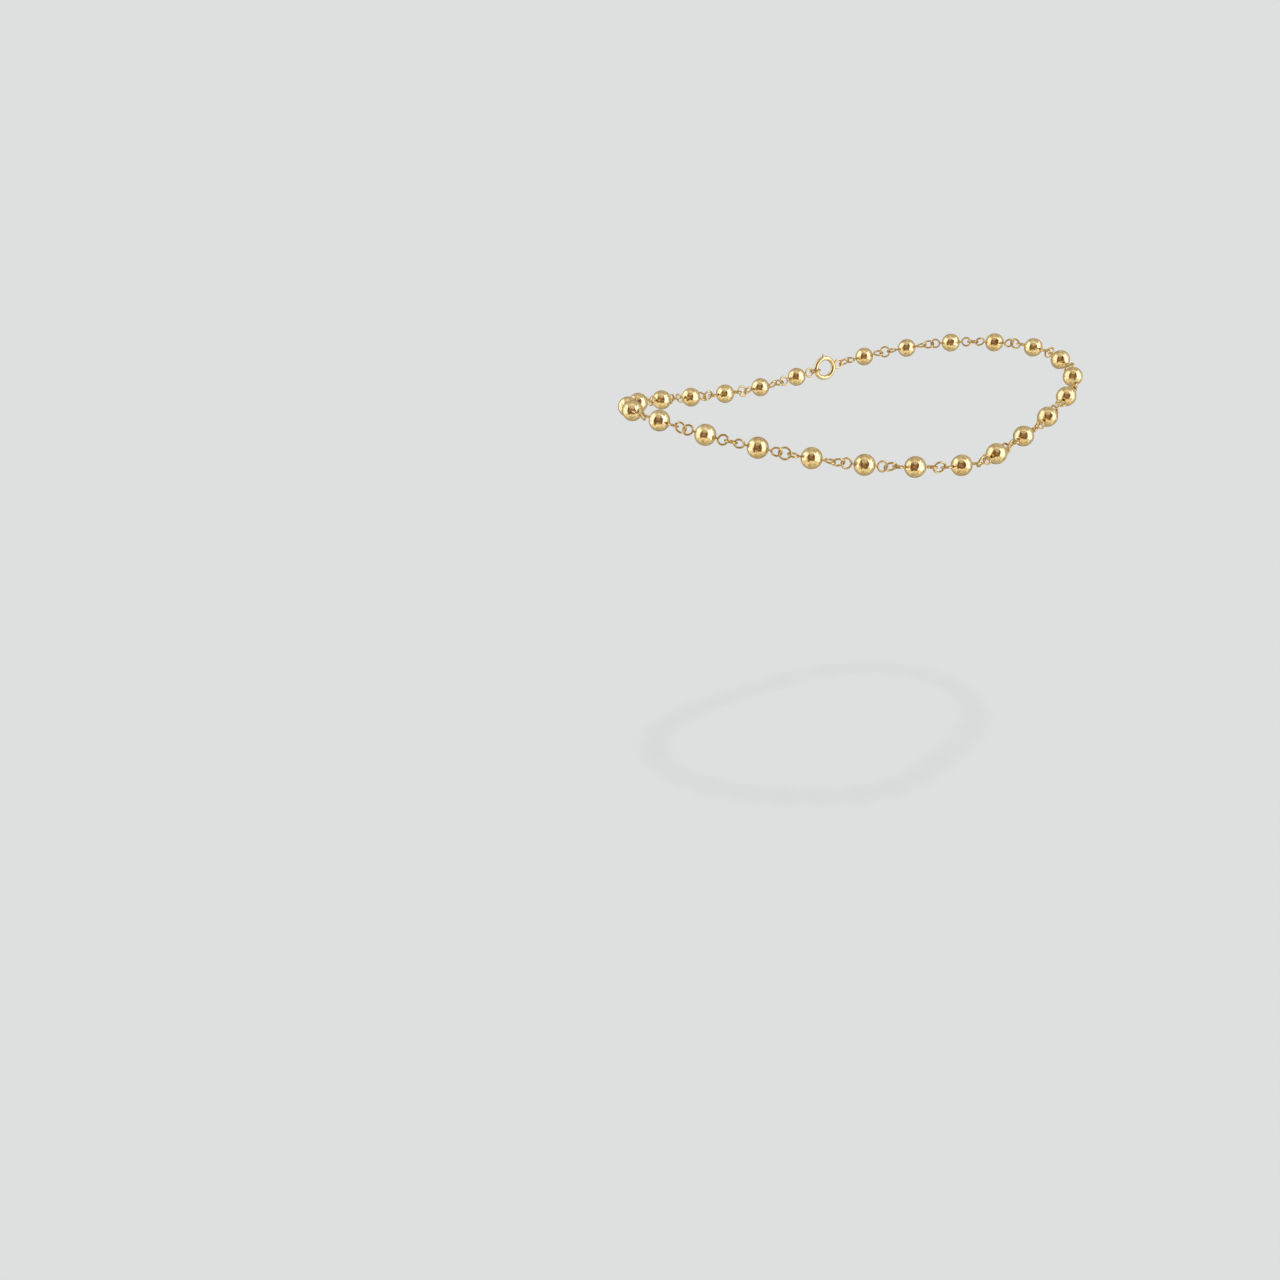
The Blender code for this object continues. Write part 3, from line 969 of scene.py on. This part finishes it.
def light_tent(settings, front):
    """World: even light, and for mirrored rays a light tent with its patches and openings."""
    world = bpy.data.worlds.new("light tent")
    world.use_nodes = True
    world.node_tree.nodes.clear()
    bench = NodeBench(world.node_tree)
    tent = Tent(bench, front)
    seen = (*TENT_CLOTH, 1.0)
    for turn, turn_half, rise, rise_half, soft, colour in TENT_PATCHES:
        share = tent.patch(turn, turn_half, rise, rise_half, soft)
        seen = bench.blend(share, seen, (*colour, 1.0))
    behind = bench.math("SUBTRACT", 1.0, tent.near(tent.turn, *BACK_TURN))
    behind = bench.math("MULTIPLY", behind, tent.near(tent.rise, *BACK_RISE))
    seen = bench.blend(behind, seen, (*TENT_BACK, 1.0))
    folds = noise(bench, tent.direction, FOLD_SCALE, detail=1.5)
    folds = bench.math("MULTIPLY", bench.ramp(folds, *FOLD_SPAN, *FOLD_LIGHT), settings.tent)

    rays = bench.add("ShaderNodeLightPath").outputs
    mirrored = bench.add("ShaderNodeBackground", Color=seen, Strength=folds)
    even = (settings.light, settings.light, settings.light, 1.0)
    plain = bench.add("ShaderNodeBackground", Color=even, Strength=1.0)
    lit = settings.light + settings.key * KEY_FROM[2] / math.pi
    backdrop = (*[part * lit for part in settings.backdrop], 1.0)
    far = bench.add("ShaderNodeBackground", Color=backdrop, Strength=1.0)
    last = plain
    for kind, light in (("Is Glossy Ray", mirrored), ("Is Camera Ray", far)):
        mix = bench.add("ShaderNodeMixShader")
        bench.feed(mix, 0, rays[kind])
        bench.feed(mix, 1, last)
        bench.feed(mix, 2, light)
        last = mix
    exit_node = world.node_tree.nodes.new("ShaderNodeOutputWorld")
    bench.feed(exit_node, "Surface", last)
    return world


class ANKLET_OT_studio(bpy.types.Operator):
    """Make the camera, the pale floor and the soft light"""

    bl_idname = "anklet.studio"
    bl_label = "Studio"

    def execute(self, context):
        settings = context.scene.anklet_studio
        front = make_camera()
        mesh = bpy.data.meshes.new("floor")
        ring = [
            (FLOOR_RADIUS * math.cos(turn), FLOOR_RADIUS * math.sin(turn), -settings.floor_drop)
            for turn in np.linspace(0, 2 * math.pi, FLOOR_SIDES, endpoint=False)
        ]
        mesh.from_pydata(ring, [], [list(range(len(ring)))])
        mesh.materials.append(floor_material(settings.backdrop))
        floor = new_object("floor", mesh)
        floor.visible_glossy = False

        context.scene.world = light_tent(settings, front)
        context.scene.view_settings.view_transform = "Standard"
        key = bpy.data.lights.new("soft key", "SUN")
        key.energy = settings.key
        key.angle = math.radians(KEY_SOFTNESS)
        lamp = new_object("soft key", key)
        lamp.matrix_world = Vector(KEY_FROM).to_track_quat("Z", "Y").to_matrix().to_4x4()
        lamp.visible_glossy = False
        return {"FINISHED"}


class ANKLET_PT_panel(bpy.types.Panel):
    """The anklet's sizes and the buttons that make its pieces"""

    bl_idname = "ANKLET_PT_panel"
    bl_label = "Ball-bead anklet"
    bl_space_type = "VIEW_3D"
    bl_region_type = "UI"
    bl_category = "Anklet"

    def draw(self, context):
        for group in SETTINGS:
            box = self.layout.box()
            values = getattr(context.scene, group)
            for name in values.__annotations__:
                box.prop(values, name)
        for operator in OPERATORS:
            self.layout.operator(operator.bl_idname)


SETTINGS = {
    "anklet_ball": BallSettings,
    "anklet_wire": WireSettings,
    "anklet_clasp": ClaspSettings,
    "anklet_studio": StudioSettings,
}
OPERATORS = (
    ANKLET_OT_studio,
    ANKLET_OT_ball_beads,
    ANKLET_OT_eye_pins,
    ANKLET_OT_jump_rings,
    ANKLET_OT_ring_clasp,
)
CLASSES = (*SETTINGS.values(), *OPERATORS, ANKLET_PT_panel)


def register():
    """Register the classes and hang the settings on the scene."""
    for each in CLASSES:
        bpy.utils.register_class(each)
    for name, group in SETTINGS.items():
        setattr(bpy.types.Scene, name, bpy.props.PointerProperty(type=group))


def unregister():
    """Take the settings off the scene and unregister the classes."""
    for name in SETTINGS:
        delattr(bpy.types.Scene, name)
    for each in reversed(CLASSES):
        bpy.utils.unregister_class(each)


def main():
    """Make every piece in order."""
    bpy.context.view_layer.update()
    register()
    bpy.ops.anklet.studio()
    bpy.ops.anklet.ball_beads()
    bpy.ops.anklet.eye_pins()
    bpy.ops.anklet.jump_rings()
    bpy.ops.anklet.ring_clasp()


if __name__ == "__main__":
    main()
